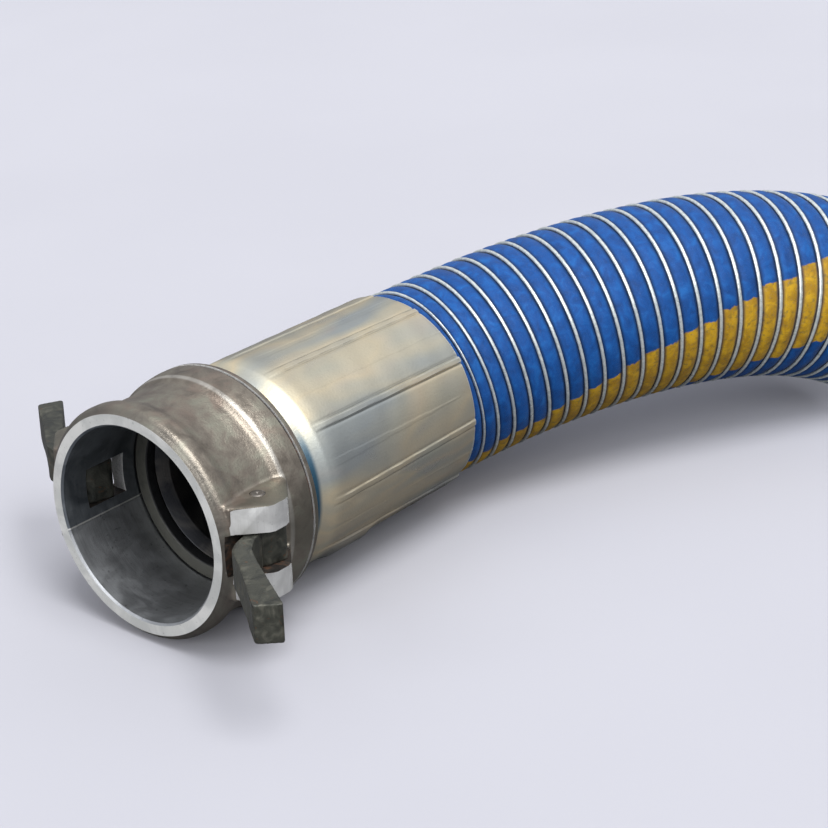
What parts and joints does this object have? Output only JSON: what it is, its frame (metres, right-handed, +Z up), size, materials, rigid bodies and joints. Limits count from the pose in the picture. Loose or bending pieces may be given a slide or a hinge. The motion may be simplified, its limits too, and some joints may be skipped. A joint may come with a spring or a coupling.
{
  "type": "camlock coupling",
  "caption": "Female cam and groove coupling with a cup, two cam arms on pins, a crimped ferrule and a length of wire-wound composite hose.",
  "frame": {"origin": "middle of the bounding box of the whole part in its rest pose; the centre of the cup's mouth is at (-0.280169, 0.026966, -0.008803) m", "axes": "+X along the coupling axis from the open mouth to the hose, +Z up and parallel to both arm pins, +Y towards the left arm"},
  "size_m": [0.6508, 0.3704, 0.1656],
  "materials": {
    "coupler_body": "as-cast steel, faces machined bright",
    "cup_gasket": "smooth black rubber",
    "cam_arm_left": "smooth dark cast steel",
    "cam_arm_right": "smooth dark cast steel",
    "pivot_pin_left": "turned",
    "pivot_pin_right": "turned",
    "hose_tail": "turned",
    "ferrule": "yellow zinc plated",
    "seal_sleeve": "smooth",
    "lining_fabric": "woven",
    "film_barrier": "wound film",
    "carcass_fabric": "woven",
    "hose_cover": "coated weave, blue with a yellow band",
    "inner_wire": "galvanised",
    "outer_wire": "galvanised"
  },
  "bodies": {
    "coupling": {"coupler_body": "coupler_body", "cup_gasket": "cup_gasket", "pivot_pin_left": "pivot_pin_left", "pivot_pin_right": "pivot_pin_right", "hose_tail": "hose_tail", "ferrule": "ferrule", "seal_sleeve": "seal_sleeve", "lining_fabric": "lining_fabric", "film_barrier": "film_barrier", "carcass_fabric": "carcass_fabric", "hose_cover": "hose_cover", "inner_wire": "inner_wire", "outer_wire": "outer_wire"},
    "left_arm": {"cam_arm_left": "cam_arm_left"},
    "right_arm": {"cam_arm_right": "cam_arm_right"}
  },
  "joints": [
    {"name": "left_arm_hinge", "type": "hinge", "parent": "coupling", "child": "left_arm", "pos_m": [-0.25117, 0.09697, -0.0088], "axis": [0, 0, 1], "range_deg": [-52, 86]},
    {"name": "right_arm_hinge", "type": "hinge", "parent": "coupling", "child": "right_arm", "pos_m": [-0.25117, -0.04303, -0.0088], "axis": [0, 0, -1], "range_deg": [-127, 11]}
  ]
}
